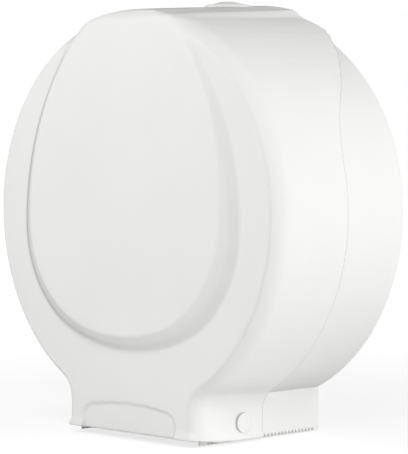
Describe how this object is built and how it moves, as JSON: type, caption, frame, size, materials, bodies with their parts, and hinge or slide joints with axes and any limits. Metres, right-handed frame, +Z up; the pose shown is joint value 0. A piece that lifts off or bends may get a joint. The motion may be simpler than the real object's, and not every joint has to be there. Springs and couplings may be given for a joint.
{
  "type": "jumbo toilet roll dispenser",
  "caption": "Wall-mounted jumbo toilet roll dispenser: round drum with a toothed paper chute, roll hub, and a tip-down front cover with a key lock on top.",
  "frame": {"origin": "middle of the drum on the wall plane, at the centre of the wall screw pattern", "axes": "+X to the object's right seen from the front, -Y out of the wall towards the user, +Z up"},
  "size_m": [0.2778, 0.1325, 0.298],
  "materials": {
    "casing_plastic": "smooth semi-gloss white",
    "cover_plastic": "smooth gloss white",
    "fitting_plastic": "smooth white",
    "hub_plastic": "plain off-white",
    "bush_plastic": "plain light grey",
    "steel": "plain zinc plated"
  },
  "bodies": {
    "casing": {"rear_casing": "casing_plastic", "spindle_post": "hub_plastic", "spindle_screw_1": "steel", "spindle_screw_2": "steel", "spindle_screw_3": "steel", "hub_washer": "bush_plastic", "hub_screw": "steel", "hinge_bush_left": "bush_plastic", "hinge_bush_right": "bush_plastic"},
    "hub": {"core_hub": "hub_plastic"},
    "cover": {"front_cover": "cover_plastic", "hinge_pin_left": "fitting_plastic", "hinge_pin_right": "fitting_plastic", "hinge_clip_left": "steel", "hinge_clip_right": "steel", "lock_housing": "fitting_plastic", "lock_nut": "bush_plastic"},
    "lock": {"lock_rotor": "fitting_plastic", "lock_cam": "steel", "lock_cam_screw": "steel"}
  },
  "joints": [
    {"name": "cover_hinge", "type": "hinge", "parent": "casing", "child": "cover", "pos_m": [0, -0.0769, -0.14], "axis": [1, 0, 0], "range_deg": [0, 100]},
    {"name": "hub_spin", "type": "hinge", "parent": "casing", "child": "hub", "pos_m": [0, -0.06, 0], "axis": [0, 1, 0], "continuous": true},
    {"name": "lock_turn", "type": "hinge", "parent": "cover", "child": "lock", "pos_m": [0, -0.028, 0.14], "axis": [0, 0, -1], "range_deg": [0, 90]}
  ]
}
